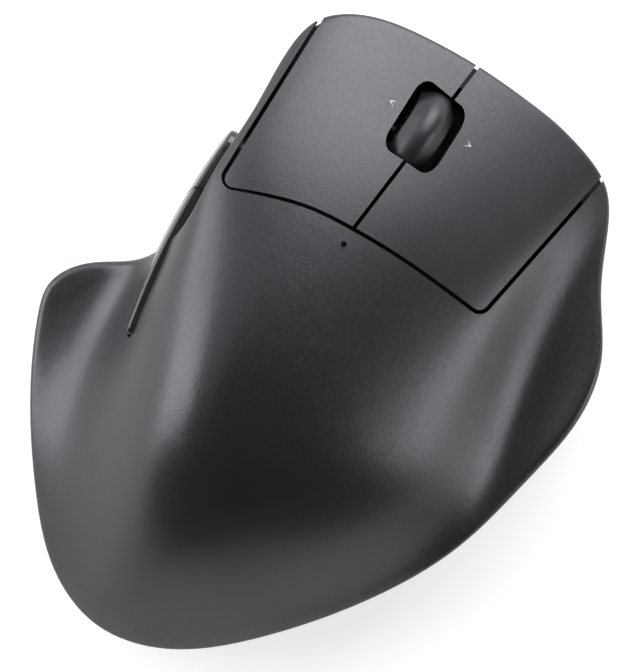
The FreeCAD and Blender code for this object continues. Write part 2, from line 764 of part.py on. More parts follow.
def main_button(label, arm_x, low_x, high_x, switch_x):
    """A main button: its plate, the arm to its hinge under the shell, and the rib over its switch."""
    half, level = size("arm_width") / 2, arm_level(arm_x)
    span = box_between(low_x, high_x, -SKY, SKY, -SKY, SKY)
    plate_part = plates.common(span)
    tail = size("hinge_y") - size("arm_tail")
    arm = box_between(arm_x - half, arm_x + half, tail, size("arm_front"), level, level + size("arm_thickness"))
    riser = box_between(arm_x - half, arm_x + half, size("arm_front") - size("riser_length"), size("arm_front"),
                        level, SKY).common(inside_wall)
    rib = box_between(switch_x - size("rib_width") / 2, switch_x + size("rib_width") / 2,
                      size("main_switch_y") - size("rib_length") / 2,
                      size("main_switch_y") + size("rib_length") / 2,
                      plunger_top + size("contact_gap"), SKY).common(inside_wall)
    button = joined([plate_part, arm, riser, rib])
    hole = size("screw_radius") + size("screw_gap")
    holes = [column(spot.x, spot.y, hole, level - PAST, level + size("arm_thickness") + PAST)
             for spot, _ in button_screw_places() if abs(spot.x - arm_x) < half]
    free_form(label, button.cut(Part.makeCompound(holes)))


plates = hollow.common(button_zone(-half_seam, 0, SKY))
lip_floor = under_skin()
lip_floor.translate(Vector(0, 0, -size("button_lip")))
plates = plates.cut(lip_floor).cut(wheel_mouth_cut())
split = size("split_x")
free_form("top_shell", top_shell())
main_button("left_button", size("left_arm_x"), -SKY, split - half_seam, size("left_switch_x"))
main_button("right_button", size("right_arm_x"), split + half_seam, SKY, size("right_switch_x"))

# The light guide: a pin in the shell, a shoulder under it and a leg down to the lamp.
guide_level = skin_height(size("dot_x"), size("dot_y")) - wall - size("guide_drop")
lamp_top = board_top + size("lamp_height")


def light_guide():
    """The indicator's clear guide, flush with the skin."""
    x, y, half = size("dot_x"), size("dot_y"), size("guide_width") / 2
    pin = column(x, y, size("dot_radius"), guide_level, SKY).common(outer)
    shoulder = box_between(min(x, size("lamp_x")) - half, max(x, size("lamp_x")) + half, y - half, y + half,
                           guide_level - size("guide_width"), guide_level)
    leg = box_between(size("lamp_x") - half, size("lamp_x") + half, y - half, y + half,
                      lamp_top + size("screw_gap"), guide_level)
    return joined([shoulder, leg, pin])


free_form("light_guide", light_guide())


def tub_wire(inset, height):
    """The lower case's outline at a height, leaning in towards the underside, moved inwards by inset."""
    lean = size("base_lean") * (parting - height) / (parting - size("underside"))
    return outline_wire(size("reveal") + lean + inset, height)


def nose():
    """The case's front wall, set back under the buttons' lips."""
    inner = size("nose_setback") + size("nose_wall")
    near, far = drawn(NOSE_FROM), drawn(NOSE_TO)
    front = box_between(near.x, far.x, near.y, far.y, 0, SKY)
    wall_part = prism(size("nose_setback"), floor_top, SKY).cut(prism(inner, floor_top, SKY))
    wall_part = wall_part.common(front).common(under_skin(wall + size("click_room")))
    step = prism(size("reveal") + size("base_wall") / 2, floor_top, parting).cut(prism(inner, floor_top, parting))
    return [step.common(front), wall_part]


def pivot_posts():
    """The two posts that carry the cradle's pivot."""
    posts = []
    for side in (-1, 1):
        spot = wheel_frame.multVec(Vector(side * post_reach, -size("pivot_back"), 0))
        half = size("post_wall") / 2
        posts.append(box_between(spot.x - half, spot.x + half, spot.y - size("post_depth") / 2,
                                 spot.y + size("post_depth") / 2, floor_top - size("sink"),
                                 spot.z + size("post_depth") / 2))
    return posts


def board_screw_places():
    """Where the main board's screws stand."""
    return [Vector(size("board_x") + x, size("board_y") + y, 0) for x, y in BOARD_SCREWS]


def side_screw_places():
    """Where the side board's screws stand, along the side frame's Y."""
    half = size("side_screw_pitch") / 2
    return [size("side_bracket_middle") + step for step in (-half, half)]


bracket_face = size("side_switch_reach")
bracket_back = bracket_face + size("bracket_wall")


def side_bracket():
    """The upright wall that the side board is screwed to."""
    middle, half = size("side_bracket_middle"), size("bracket_length") / 2
    bracket = box_between(bracket_face, bracket_back, middle - half, middle + half,
                          floor_top - size("sink") - size("side_z"), size("side_board_width") / 2)
    bracket.Placement = side_frame
    return bracket


bay_x = size("cell_radius") + size("cell_gap")
bay_front = size("cell_y") + size("cell_length") / 2 + size("contact_bow") + size("contact_thickness")
bay_rear = size("cell_y") - size("cell_length") / 2 - size("contact_bow") - size("contact_thickness")


def cell_bay():
    """The walls round the cell: two low cheeks and two end walls behind the contacts."""
    x, thick, low = size("cell_x"), size("bay_wall"), floor_top - size("sink")
    outer_x = size("contact_width") / 2 + thick
    walls = [box_between(x + side * bay_x - (thick if side < 0 else 0),
                         x + side * bay_x + (thick if side > 0 else 0),
                         bay_rear, bay_front, low, cell_height) for side in (-1, 1)]
    tall = cell_height + size("contact_width") / 2
    walls.append(box_between(x - outer_x, x + outer_x, bay_front, bay_front + thick, low, tall))
    walls.append(box_between(x - outer_x, x + outer_x, bay_rear - thick, bay_rear, low, tall))
    return walls


door_pin_y = size("cell_y") + size("door_length") / 2 - size("door_thickness") / 2
door_pin_z = size("underside") + size("door_thickness") / 2


def door_cuts():
    """The battery opening and the holes for the door's two pins."""
    x, gap = size("cell_x"), size("door_gap")
    half_x, half_y = size("door_width") / 2 + gap, size("door_length") / 2 + gap
    opening = box_between(x - half_x, x + half_x, size("cell_y") - half_y, size("cell_y") + half_y,
                          0, floor_top + size("sink"))
    reach = size("door_width") / 2 + size("door_pin_length") + gap
    pins = Part.makeCylinder(size("door_pin_radius") + size("running_gap"), 2 * reach,
                             Vector(x - reach, door_pin_y, door_pin_z), Vector(1, 0, 0))
    return [opening, pins]


def foot_pocket(spot, length, angle):
    """The shallow recess that a foot is glued into."""
    long, wide = length / 2 + size("foot_gap"), size("foot_width") / 2 + size("foot_gap")
    pocket = box_between(-long, long, -wide, wide, 0, size("foot_thickness"))
    rounded = pocket.makeFillet(size("foot_width") / 2, [e for e in pocket.Edges if e.BoundBox.ZLength > 0.1])
    rounded.Placement = Placement(drawn(spot), Rotation(Vector(0, 0, 1), angle))
    return rounded


def base_case():
    """The lower case: a shallow tub with its nose, posts, bosses and bay, less every hole."""
    low, base_wall = size("underside"), size("base_wall")
    tub = Part.makeLoft([tub_wire(0, low), tub_wire(0, parting)], True, True)
    room = Part.makeLoft([tub_wire(base_wall, floor_top), tub_wire(base_wall, parting)], True, True)
    parts = [tub.cut(room)] + nose() + pivot_posts() + [side_bracket()] + cell_bay()
    rooted = floor_top - size("sink")
    for spot in case_screw_places():
        parts.append(column(spot.x, spot.y, size("tower_radius"), rooted, size("boss_height")))
    for spot in board_screw_places():
        parts.append(column(spot.x, spot.y, size("board_post_radius"), rooted, size("board_height")))
    case = joined(parts)
    gap, radius, head = size("screw_gap"), size("screw_radius"), size("screw_head_radius")
    cuts = door_cuts()
    for spot in case_screw_places():
        cuts.append(column(spot.x, spot.y, head + gap, 0, size("screw_seat")))
        cuts.append(column(spot.x, spot.y, radius + gap, 0, size("boss_height") + PAST))
    for spot in board_screw_places():
        tip = board_top - size("board_screw_length") - PAST
        cuts.append(column(spot.x, spot.y, radius + size("running_gap"), tip, SKY))
    for name, (spot, length, angle) in FEET.items():
        cuts.append(foot_pocket(spot, length, angle))
    pivot = Part.makeCylinder(size("pivot_radius") + size("running_gap"), 2 * post_reach + 2 * size("post_wall"),
                              Vector(-post_reach - size("post_wall"), -size("pivot_back"), 0), Vector(1, 0, 0))
    pivot.Placement = wheel_frame
    cuts.append(pivot)
    for along in side_screw_places():
        hole = Part.makeCylinder(radius + size("running_gap"), size("bracket_wall") + 2 * PAST,
                                 Vector(bracket_face - PAST, along, 0), Vector(1, 0, 0))
        hole.Placement = side_frame
        cuts.append(hole)
    slot, through = size("foot_gap"), floor_top + size("sink")
    cuts.append(box_between(size("knob_x") - size("knob_length") / 2 - slot,
                            size("knob_x") + size("knob_length") / 2 + size("knob_travel") + slot,
                            size("knob_y") - size("knob_width") / 2 - slot,
                            size("knob_y") + size("knob_width") / 2 + slot, 0, through))
    cuts.append(column(size("pairing_x"), size("pairing_y"), size("pairing_radius") + slot, 0, through))
    cuts.append(column(size("sensor_x"), size("sensor_y"), size("window_radius") + slot, 0, through))
    for tool in cuts:
        case = case.cut(tool)
    return case


free_form("base_case", base_case())

# The battery door, hung on two pins at its front end.
door_leaf = plate("door_leaf", "door_width", "door_length - door_thickness / 2", "door_thickness",
                  "cell_x", "cell_y - door_thickness / 4", "underside")
door_roll = spindle("door_roll", "door_thickness / 2", "door_width", "cell_x",
                    "cell_y + door_length / 2 - door_thickness / 2", "underside + door_thickness / 2")
door_pins = spindle("door_pins", "door_pin_radius", "door_width + 2 * door_pin_length", "cell_x",
                    "cell_y + door_length / 2 - door_thickness / 2", "underside + door_thickness / 2")
door_grip = spindle("door_grip", "grip_radius", "door_width / 2", "cell_x",
                    "cell_y - door_length / 2 + 2 * door_thickness + grip_radius", "underside - grip_radius / 2")
named(cut("door_cut", fused("door_body", door_leaf, door_roll, door_pins), door_grip), "battery_door")

for label, (spot, length, angle) in FEET.items():
    foot_place = drawn(spot)
    named(plate(label + "_pad", length, "foot_width", "foot_thickness", repr(round(foot_place.x, 4)),
                repr(round(foot_place.y, 4)), 0, "foot_width / 2 - foot_gap", angle), label)

# The wheel group, drawn about the wheel's centre.


def round_sketch(body, name, radius, offset=None):
    """A circle on a body's YZ plane, on its origin or offset along the plane's first axis."""
    sketch = sketch_on(body, name, "YZ_Plane")
    sketch.addGeometry(Part.Circle(Vector(1 if offset else 0, 0, 0), Vector(0, 0, 1), 1), False)
    measure(sketch, radius, "Radius", 0, 1.0)
    if offset:
        sketch.addConstraint(Sketcher.Constraint("PointOnObject", 0, 3, -1))
        measure(sketch, offset, "DistanceX", -1, 1, 0, 3, 1.0)
    else:
        sketch.addConstraint(Sketcher.Constraint("Coincident", 0, 3, -1, 1))
    return sketch


def wheel_hub():
    """The hub with its axle and a ring of holes that chop the light."""
    body = doc.addObject("PartDesign::Body", "hub_body")
    for name, radius, length in (("core", "wheel_radius - tyre_thickness", "wheel_width - 2 * hub_recess"),
                                 ("axle", "axle_radius", "2 * fork_reach")):
        sketch = round_sketch(body, name + "_circle", radius)
        pad = bind(body.newObject("PartDesign::Pad", name), Length=length)
        pad.Profile = sketch
        pad.SideType = "Symmetric"
    doc.recompute()
    whole = body.Shape.Volume
    hole_sketch = round_sketch(body, "chopper_circle", "chopper_hole", "chopper_radius")
    hole = body.newObject("PartDesign::Pocket", "chopper")
    hole.Profile = hole_sketch
    hole.SideType = "Symmetric"
    bind(hole, Length="wheel_width")
    ring = body.newObject("PartDesign::PolarPattern", "chopper_ring")
    ring.Originals = [hole]
    ring.Axis = (origin_part(body, "X_Axis"), [""])
    ring.Angle = 360
    bind(ring, Occurrences="chopper_count")
    body.Tip = ring
    doc.recompute()
    assert body.Shape.Volume < whole, "the hub's holes cut nothing"
    return body


def wheel_tyre():
    """The crowned rubber tyre, turned about the wheel's axis."""
    body = doc.addObject("PartDesign::Body", "tyre_body")
    sketch = sketch_on(body, "tyre_section")
    half, inner, edge, flat, high = 3.0, 7.0, 8.5, 2.0, 9.5
    corners = [Vector(-half, inner, 0), Vector(half, inner, 0), Vector(half, edge, 0), Vector(flat, high, 0),
               Vector(-flat, high, 0), Vector(-half, edge, 0)]
    for index in (0, 1, 2, 4, 5):
        sketch.addGeometry(Part.LineSegment(corners[index], corners[(index + 1) % 6]), False)
    sketch.addGeometry(Part.Arc(corners[3], Vector(0, high + 0.5, 0), corners[4]), False)
    base_line, right_side, right_bevel, left_bevel, left_side, crown = range(6)
    for first, end, second, start in ((base_line, 2, right_side, 1), (right_side, 2, right_bevel, 1),
                                      (right_bevel, 2, crown, 1), (crown, 2, left_bevel, 1),
                                      (left_bevel, 2, left_side, 1), (left_side, 2, base_line, 1)):
        sketch.addConstraint(Sketcher.Constraint("Coincident", first, end, second, start))
    sketch.addConstraint(Sketcher.Constraint("Vertical", right_side))
    sketch.addConstraint(Sketcher.Constraint("Vertical", left_side))
    sketch.addConstraint(Sketcher.Constraint("Symmetric", base_line, 1, base_line, 2, -2))
    sketch.addConstraint(Sketcher.Constraint("Symmetric", crown, 1, crown, 2, -2))
    sketch.addConstraint(Sketcher.Constraint("Horizontal", right_side, 2, left_side, 1))
    measure(sketch, "wheel_width", "DistanceX", base_line, 1, base_line, 2, 2 * half)
    measure(sketch, "wheel_radius - tyre_thickness", "DistanceY", -1, 1, base_line, 2, inner)
    measure(sketch, "wheel_radius - wheel_crown", "DistanceY", -1, 1, right_bevel, 2, high)
    measure(sketch, "bevel_depth", "DistanceY", right_bevel, 1, right_bevel, 2, high - edge)
    measure(sketch, "bevel_width", "DistanceX", right_bevel, 2, right_bevel, 1, half - flat)
    measure(sketch, "((wheel_width / 2 - bevel_width) ^ 2 + wheel_crown ^ 2) / (2 * wheel_crown)", "Radius",
            crown, 5.0)
    turn = body.newObject("PartDesign::Revolution", "tyre_turn")
    turn.Profile = sketch
    turn.ReferenceAxis = (origin_part(body, "X_Axis"), [""])
    turn.Angle = 360
    doc.recompute()
    shoulders = ["Edge%d" % (i + 1) for i, e in enumerate(turn.Shape.Edges)
                 if e.Closed and e.Curve.TypeId == "Part::GeomCircle"
                 and e.Curve.Radius > size("wheel_radius") - size("tyre_thickness") + size("tyre_edge")]
    soft = body.newObject("PartDesign::Fillet", "tyre_shoulders")
    soft.Base = (turn, shoulders)
    bind(soft, Radius="tyre_edge")
    return body


named(in_wheel_frame(wheel_hub()), "wheel_hub")
named(in_wheel_frame(wheel_tyre()), "wheel_tyre")

# The fork carries the axle and rocks from side to side on the cradle's pin.
arms = [block("fork_arm_%s" % name, "fork_wall", "crossbar_back + fork_lead", "fork_height",
              "%s * (fork_reach - fork_wall / 2)" % sign, "(fork_lead - crossbar_back) / 2", "-fork_height / 2")
        for name, sign in (("left", "-1"), ("right", "1"))]
crossbar = block("fork_crossbar", "2 * fork_reach", "crossbar_length", "fork_height", 0, "-crossbar_back",
                 "-fork_height / 2")
axle_hole = spindle("fork_axle_hole", "axle_radius + running_gap", "2 * fork_reach + 2", 0, 0, 0)
pin_hole = lance("fork_pin_hole", "tilt_pin_radius + running_gap", "2 * crossbar_length", 0,
                 "-crossbar_back - crossbar_length", 0)
fork = cut("fork_cut", fused("fork_body", *arms, crossbar), axle_hole, pin_hole)
named(in_wheel_frame(fork), "wheel_fork")

# The cradle swings on its two posts: a tail frame, a tongue over the middle switch and the fork's pin.
tails = [block("cradle_tail_%s" % name, "fork_wall", "pivot_back - tongue_back", "fork_height",
               "%s * (fork_reach - fork_wall / 2)" % sign, "-(pivot_back + tongue_back) / 2", "-fork_height / 2")
         for name, sign in (("left", "-1"), ("right", "1"))]
bridge = block("cradle_bridge", "2 * fork_reach", "bridge_length", "fork_height", 0, "-tongue_back",
               "-fork_height / 2")
pivot = spindle("cradle_pivot", "pivot_radius", "2 * post_reach + post_wall", 0, "-pivot_back", 0)
tongue = block("cradle_tongue", "tongue_size", "tongue_size", "tongue_drop", 0, "-tongue_back", "-tongue_drop")
tilt_pin = lance("cradle_tilt_pin", "tilt_pin_radius", "tongue_back - crossbar_back + crossbar_length / 2", 0,
                 "-tongue_back", 0)
cradle = fused("cradle_body", *tails, bridge, pivot, tongue, tilt_pin)
named(in_wheel_frame(cradle), "wheel_cradle")

for label, sign in (("light_emitter", "-1"), ("light_detector", "1")):
    named(block(label + "_block", "eye_width", "eye_depth", "centre_z + eye_width / 2 - board_top",
                "centre_x + %s * eye_reach" % sign, "centre_y + chopper_radius", "board_top"), label)

# The main board with its switches.
board_blank = plate("board_blank", "board_width", "board_length", "board_thickness", "board_x", "board_y",
                    "board_height", "board_corner")
notches = [rod("board_hole_%d" % number, "screw_radius + screw_gap", "board_thickness + 2",
               repr(spot.x), repr(spot.y), "board_height - 1")
           for number, spot in enumerate(board_screw_places(), 1)]
for name, sign in (("left", "-1"), ("right", "1")):
    notches.append(block("post_notch_" + name, "post_wall + 2 * board_gap", "post_depth + 2 * board_gap",
                         "board_thickness + 2", "centre_x + %s * post_reach * cos(wheel_tilt)" % sign,
                         "centre_y - pivot_back", "board_height - 1"))
named(cut("board_cut", board_blank, *notches), "main_board")

for label, x, y in (("left", "left_switch_x", "main_switch_y"), ("right", "right_switch_x", "main_switch_y"),
                    ("middle", "middle_x", "middle_y")):
    box = block(label + "_switch_box", "switch_width", "switch_length", "switch_height", x, y, "board_top")
    well = rod(label + "_switch_well", "plunger_radius + plunger_gap", "plunger_depth + 1", x, y,
               "board_top + switch_height - plunger_depth")
    named(cut(label + "_switch_cut", box, well), label + "_switch")
    named(rod(label + "_plunger_rod", "plunger_radius", "plunger_proud + plunger_depth - plunger_travel", x, y,
              "board_top + switch_height - plunger_depth + plunger_travel"), label + "_plunger")

# The side board with the thumb buttons' switches, drawn in the side frame.
side_blank = block("side_board_blank", "side_board_thickness", "side_board_length", "side_board_width",
                   "side_switch_reach - side_board_thickness / 2", 0, "-side_board_width / 2")
side_holes = [spindle("side_board_hole_%d" % number, "screw_radius + screw_gap", "side_board_thickness + 2",
                      "side_switch_reach - side_board_thickness / 2", repr(along), 0)
              for number, along in enumerate(side_screw_places(), 1)]
named(in_side_frame(cut("side_board_cut", side_blank, *side_holes)), "side_board")
for label, along in (("forward", "side_forward"), ("back", "side_back")):
    face = "(side_switch_reach - side_board_thickness - side_switch_depth)"
    box = block(label + "_switch_box", "side_switch_depth", "side_switch_size", "side_switch_size",
                face + " + side_switch_depth / 2", along, "-side_switch_size / 2")
    well = spindle(label + "_switch_well", "plunger_radius + plunger_gap", "2 * side_well", face, along, 0)
    named(in_side_frame(cut(label + "_switch_cut", box, well)), label + "_switch")
    start = "(side_depth + side_flange)"
    reach = "(%s + side_well - side_travel - plunger_gap - %s)" % (face, start)
    stem = spindle(label + "_plunger_rod", "plunger_radius", reach, start + " + " + reach + " / 2", along, 0)
    named(in_side_frame(group(label + "_plunger_stem", stem)), label + "_plunger")

# The cell and its contacts.
cell_can = lance("cell_can", "cell_radius", "cell_length - cell_nub", "cell_x", "cell_y - cell_length / 2",
                 "cell_height")
cell_nub = lance("cell_nub_rod", "cell_nub_radius", "2 * cell_nub", "cell_x",
                 "cell_y + cell_length / 2 - 2 * cell_nub",
                 "cell_height")
named(fused("cell_body", cell_can, cell_nub), "battery")
for label, leaf_y, bow_y in (("front_contact", "cell_y + cell_length / 2 + contact_bow + contact_thickness / 2",
                              "cell_y + cell_length / 2"),
                             ("rear_contact", "cell_y - cell_length / 2 - contact_bow - contact_thickness / 2",
                              "cell_y - cell_length / 2 - contact_bow")):
    leaf = block(label + "_leaf", "contact_width", "contact_thickness", "contact_width", "cell_x", leaf_y,
                 "cell_height - contact_width / 2")
    bow = lance(label + "_bow", "cell_nub_radius", "contact_bow", "cell_x", bow_y, "cell_height")
    named(fused(label + "_body", leaf, bow), label)

# The underside's controls and the tracking eye.
knob_tip = plate("knob_tip", "knob_length", "knob_width", "knob_flange - underside - knob_recess", "knob_x",
                 "knob_y", "underside + knob_recess")
knob_flange = block("knob_flange_plate", "knob_length + 2 * knob_flange_ends", "knob_width + 2 * knob_flange_sides",
                    "knob_flange_thickness", "knob_x", "knob_y", "knob_flange")
knob_lever = block("knob_lever", "knob_lever_size", "knob_lever_size", "knob_lever_height", "knob_x", "knob_y",
                   "knob_flange")
named(fused("knob_body", knob_tip, knob_flange, knob_lever), "power_knob")
power_box = block("power_box", "power_length", "power_width", "power_height", "knob_x + knob_travel / 2", "knob_y",
                  "board_height - power_height")
power_slot = block("power_slot", "knob_lever_size + knob_travel + 2 * board_gap", "knob_lever_size + board_gap",
                   "power_height", "knob_x + knob_travel / 2", "knob_y", "board_height - power_height - board_gap")
named(cut("power_cut", power_box, power_slot), "power_switch")
pairing_cap = rod("pairing_cap", "pairing_radius", "pairing_top - underside - knob_recess", "pairing_x", "pairing_y",
                  "underside + knob_recess")
pairing_rim = rod("pairing_rim", "pairing_radius + knob_flange_sides", "knob_flange_thickness", "pairing_x",
                  "pairing_y", "knob_flange")
named(fused("pairing_body", pairing_cap, pairing_rim), "pairing_button")
named(block("pairing_box", "side_switch_size", "side_switch_size", "board_height - pairing_top - pairing_gap",
            "pairing_x", "pairing_y", "pairing_top + pairing_gap"), "pairing_switch")
named(block("sensor_box", "sensor_width", "sensor_length", "sensor_height", "sensor_x", "sensor_y",
            "board_height - sensor_height"), "sensor_chip")
lens_plate = block("lens_plate", "sensor_width", "sensor_length", "board_height - sensor_height - floor_top",
                   "sensor_x", "sensor_y", "floor_top")
lens_barrel = rod("lens_barrel", "window_radius", "floor_top - underside - knob_recess + sink",
                  "sensor_x", "sensor_y",
                  "underside + knob_recess")
named(fused("lens_body", lens_plate, lens_barrel), "sensor_lens")
radio_box = block("radio_box", "radio_size", "radio_size", "radio_height", "radio_x", "radio_y", "board_top")
named(radio_box, "radio_chip")
named(block("lamp_box", "lamp_width", "guide_width", "lamp_height", "lamp_x", "dot_y", "board_top"),
      "indicator_lamp")
named(group("small_parts", *[block("small_part_%d" % number, length, width, height, x, y, "board_top")
                             for number, (length, width, height, x, y) in enumerate(SMALL_PARTS, 1)]),
      "board_components")


def screw(name, length):
    """A pan-head screw along Z with a cross recess: its seat at Z = 0 and its shank upwards."""
    shank = rod(name + "_shank", "screw_radius", length)
    head = rod(name + "_head", "screw_head_radius", "screw_head_height", 0, 0, "-screw_head_height")
    bars = [block("%s_bar_%s" % (name, way), long, wide, "screw_head_height", 0, 0, "-1.5 * screw_head_height")
            for way, long, wide in (("x", "recess_length", "recess_width"),
                                     ("y", "recess_width", "recess_length"))]
    return cut(name + "_cut", fused(name + "_body", shank, head), *bars)


def screws(label, length, places):
    """Copies of one screw, each with its seat at a place, as one group of separate solids."""
    pattern = screw(label + "_pattern", length)
    links = []
    for number, spot in enumerate(places, 1):
        copy = doc.addObject("Part::Compound", "%s_%d" % (label, number))
        copy.Links = [pattern]
        copy.Placement = spot
        links.append(copy)
    return named(group(label + "_group", *links), label)


upwards, downwards = Rotation(), Rotation(Vector(1, 0, 0), 180)
screws("case_screws", "case_screw_length",
       [Placement(Vector(s.x, s.y, size("screw_seat")), upwards) for s in case_screw_places()])
screws("board_screws", "board_screw_length",
       [Placement(Vector(s.x, s.y, board_top), downwards) for s in board_screw_places()])
screws("button_screws", "button_screw_length",
       [Placement(Vector(s.x, s.y, level - size("running_gap")), upwards) for s, level in button_screw_places()])
inwards = Rotation(Vector(0, 1, 0), 90)
screws("side_board_screws", "side_board_thickness + bracket_wall",
       [side_frame.multiply(Placement(Vector(bracket_face - size("side_board_thickness"), along, 0), inwards))
        for along in side_screw_places()])
named(plate("label_plate", "label_width", "label_length", "label_thickness", "label_x", "label_y",
            "underside - label_thickness", "label_corner"), "rating_label")

doc.recompute()
for item in doc.Objects:
    assert not {"Invalid", "Error"} & set(item.State), "%s failed" % item.Name
for piece in pieces:
    assert not piece.Shape.isNull() and piece.Shape.isValid(), "%s has no sound shape" % piece.Label
    solids = piece.Shape.Solids
    print("%-18s %2d solids %9.1f mm3" % (piece.Label, len(solids), piece.Shape.Volume))
for piece in pieces:
    piece.Shape.exportStep(os.path.join("parts", piece.Label + ".step"))
print("nodes", len(pieces))
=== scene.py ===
import json
import math

import bmesh
import bpy
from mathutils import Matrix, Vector
from mathutils.bvhtree import BVHTree

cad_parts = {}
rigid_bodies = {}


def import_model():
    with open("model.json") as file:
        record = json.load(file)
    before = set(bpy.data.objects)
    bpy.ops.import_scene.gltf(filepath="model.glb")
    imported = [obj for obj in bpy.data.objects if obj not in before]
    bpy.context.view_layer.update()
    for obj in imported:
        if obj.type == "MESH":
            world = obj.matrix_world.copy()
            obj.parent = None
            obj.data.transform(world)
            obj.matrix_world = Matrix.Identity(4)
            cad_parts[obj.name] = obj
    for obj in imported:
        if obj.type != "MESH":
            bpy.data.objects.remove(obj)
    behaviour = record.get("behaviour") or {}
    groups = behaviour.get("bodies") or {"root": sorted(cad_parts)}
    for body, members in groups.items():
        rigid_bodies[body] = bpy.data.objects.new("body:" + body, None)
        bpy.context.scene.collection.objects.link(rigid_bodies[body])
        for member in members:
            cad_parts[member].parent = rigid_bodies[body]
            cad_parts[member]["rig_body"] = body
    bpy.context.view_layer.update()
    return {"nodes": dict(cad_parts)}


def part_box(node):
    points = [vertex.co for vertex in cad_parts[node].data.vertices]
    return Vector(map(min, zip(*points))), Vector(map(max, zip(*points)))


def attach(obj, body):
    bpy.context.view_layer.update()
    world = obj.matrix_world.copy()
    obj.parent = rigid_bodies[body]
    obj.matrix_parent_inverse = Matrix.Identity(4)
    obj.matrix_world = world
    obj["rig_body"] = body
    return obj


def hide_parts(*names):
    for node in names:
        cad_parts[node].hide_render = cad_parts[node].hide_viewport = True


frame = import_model()
nodes = frame["nodes"]
MM = 0.001


def srgb(text):
    """A hex colour, as a screen shows it, turned to the linear values that light is worked out in."""
    parts = [int(text[i:i + 2], 16) / 255 for i in (1, 3, 5)]
    return tuple(c / 12.92 if c <= 0.04045 else ((c + 0.055) / 1.055) ** 2.4 for c in parts) + (1.0,)


def per(millimetres):
    """The scale at which a pattern's features are this many millimetres apart."""
    return 1000.0 / millimetres


def add(tree, kind, inputs=None, **settings):
    """Adds one node, sets its properties, fills its inputs with values or links, and gives its outputs."""
    made = tree.nodes.new(kind)
    for name, value in settings.items():
        setattr(made, name, value)
    for name, value in (inputs or {}).items():
        if isinstance(value, bpy.types.NodeSocket):
            tree.links.new(value, made.inputs[name])
        else:
            made.inputs[name].default_value = value
    return made.outputs


def put(name, data):
    """A new object that holds this data, linked to the scene."""
    made = bpy.data.objects.new(name, data)
    bpy.context.scene.collection.objects.link(made)
    return made


def blank(name):
    """A new material, its empty node tree, and the piece's own coordinates to draw patterns by."""
    material = bpy.data.materials.new(name)
    material.use_nodes = True
    tree = material.node_tree
    tree.nodes.clear()
    place = add(tree, "ShaderNodeTexCoord")["Object"]
    return material, tree, place


def surface(tree, looks):
    """Ends a material's tree with its shader, which takes these values and links."""
    shader = add(tree, "ShaderNodeBsdfPrincipled", looks)
    add(tree, "ShaderNodeOutputMaterial", {"Surface": shader["BSDF"]})


# Most of a noise lies between these two values, so this part is stretched over the range that is wanted.
NOISE_SPAN = {"From Min": 0.3, "From Max": 0.7}

# How much a moulded plastic's roughness differs between the grains of its texture, in its scratches, and
# where a hand has polished it most.
GRAIN_ROUGHNESS, SCRATCH_ROUGHNESS, POLISH = 0.03, 0.06, 0.06
# The scratches: the way they run, in radians, the scale along it, which draws them out, and how far apart
# they lie, in millimetres. Real ones are finer than that; these are as coarse as they need to be to show.
SCRATCH_TURN, SCRATCH_SHRINK, SCRATCH_PITCH = 0.4, 0.08, 0.6
# A scratch begins at the lower of these noise values and is at its roughest at the upper one.
SCRATCH_SPAN = {"From Min": 0.62, "From Max": 0.8}


